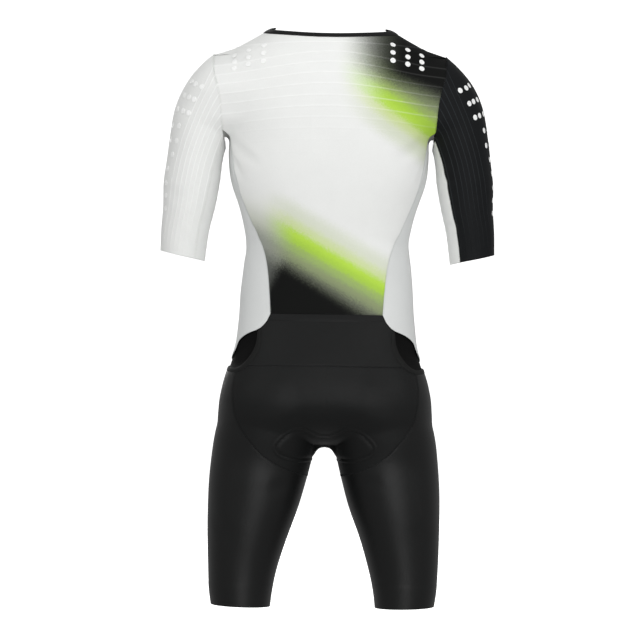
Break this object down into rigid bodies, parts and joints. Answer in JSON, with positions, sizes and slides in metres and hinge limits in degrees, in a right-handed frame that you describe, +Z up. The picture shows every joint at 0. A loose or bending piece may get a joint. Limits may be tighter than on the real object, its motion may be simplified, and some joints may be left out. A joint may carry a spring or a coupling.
{
  "type": "triathlon suit",
  "caption": "Short-sleeved one-piece triathlon suit, hollow as worn: ribbed back and sleeves, front zip, padded shorts and a rear pocket with side mouths.",
  "frame": {"origin": "the hold point, on the middle plane, level with the sides of the neck", "axes": "+Z up, -Y to the front of the suit, +X to the side of the left arm"},
  "size_m": [0.5516, 0.2296, 0.9561],
  "materials": {
    "pale_knit": "matte ribbed knit",
    "grey_knit": "matte knit",
    "black_rib": "matte ribbed knit",
    "black_knit": "satin stretch knit",
    "trim_knit": "matte elastic binding",
    "pad_foam": "brushed knit over foam",
    "zip_tape": "woven tape",
    "zip_teeth": "moulded",
    "zip_hardware": "black enamel"
  },
  "bodies": {
    "suit": {"back_panel": "pale_knit", "front_left": "pale_knit", "front_right": "pale_knit", "side_left": "grey_knit", "side_right": "grey_knit", "sleeve_outer_left": "pale_knit", "sleeve_outer_right": "black_rib", "sleeve_inner_left": "pale_knit", "sleeve_inner_right": "pale_knit", "pocket_binding_left": "trim_knit", "pocket_binding_right": "trim_knit", "pocket_panel": "black_knit", "pocket_backing": "trim_knit", "seat_panel": "black_knit", "leg_left": "black_knit", "leg_right": "black_knit", "seat_pad": "pad_foam", "neck_binding": "trim_knit", "zip_tape": "zip_tape", "zip_teeth": "zip_teeth", "zip_slider": "zip_hardware"},
    "pull_tab": {"zip_pull": "zip_hardware"}
  },
  "joints": [
    {"name": "pull_tab_hinge", "type": "hinge", "parent": "suit", "child": "pull_tab", "pos_m": [0, -0.10151, -0.09779], "axis": [-1, 0, 0], "range_deg": [0, 150]}
  ]
}
